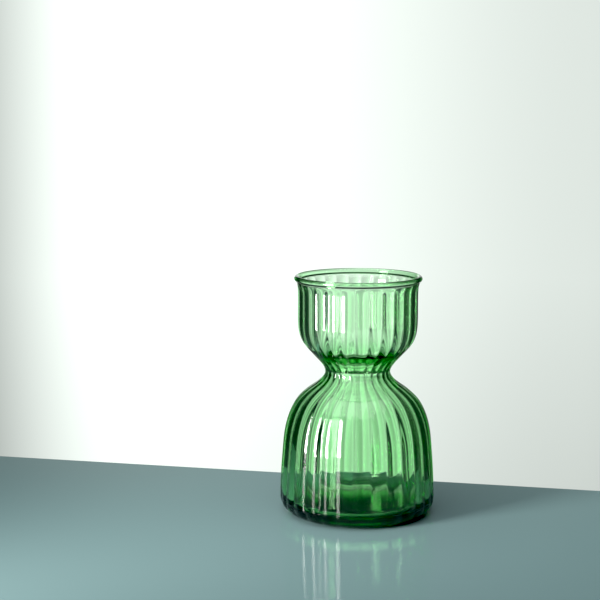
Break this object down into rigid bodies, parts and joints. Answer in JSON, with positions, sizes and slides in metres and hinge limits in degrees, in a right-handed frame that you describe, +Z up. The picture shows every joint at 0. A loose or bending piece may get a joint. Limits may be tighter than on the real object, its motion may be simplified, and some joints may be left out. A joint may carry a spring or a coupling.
{
  "type": "glass bud vase",
  "caption": "Hourglass bud vase in ribbed green glass: flared cup with a beaded lip over a narrow throat and a wide round-shouldered body on a heavy base.",
  "frame": {"origin": "on the vase's axis, level with the underside of its standing ring", "axes": "+Z up along the vase's axis; a rib crest lies on +X and one on -Y; the vase has no front"},
  "size_m": [0.0908, 0.0908, 0.14],
  "materials": {
    "green_glass": "polished"
  },
  "bodies": {
    "root": {"base": "green_glass", "lower_body": "green_glass", "waist": "green_glass", "upper_cup": "green_glass", "rim_bead": "green_glass"}
  },
  "joints": []
}
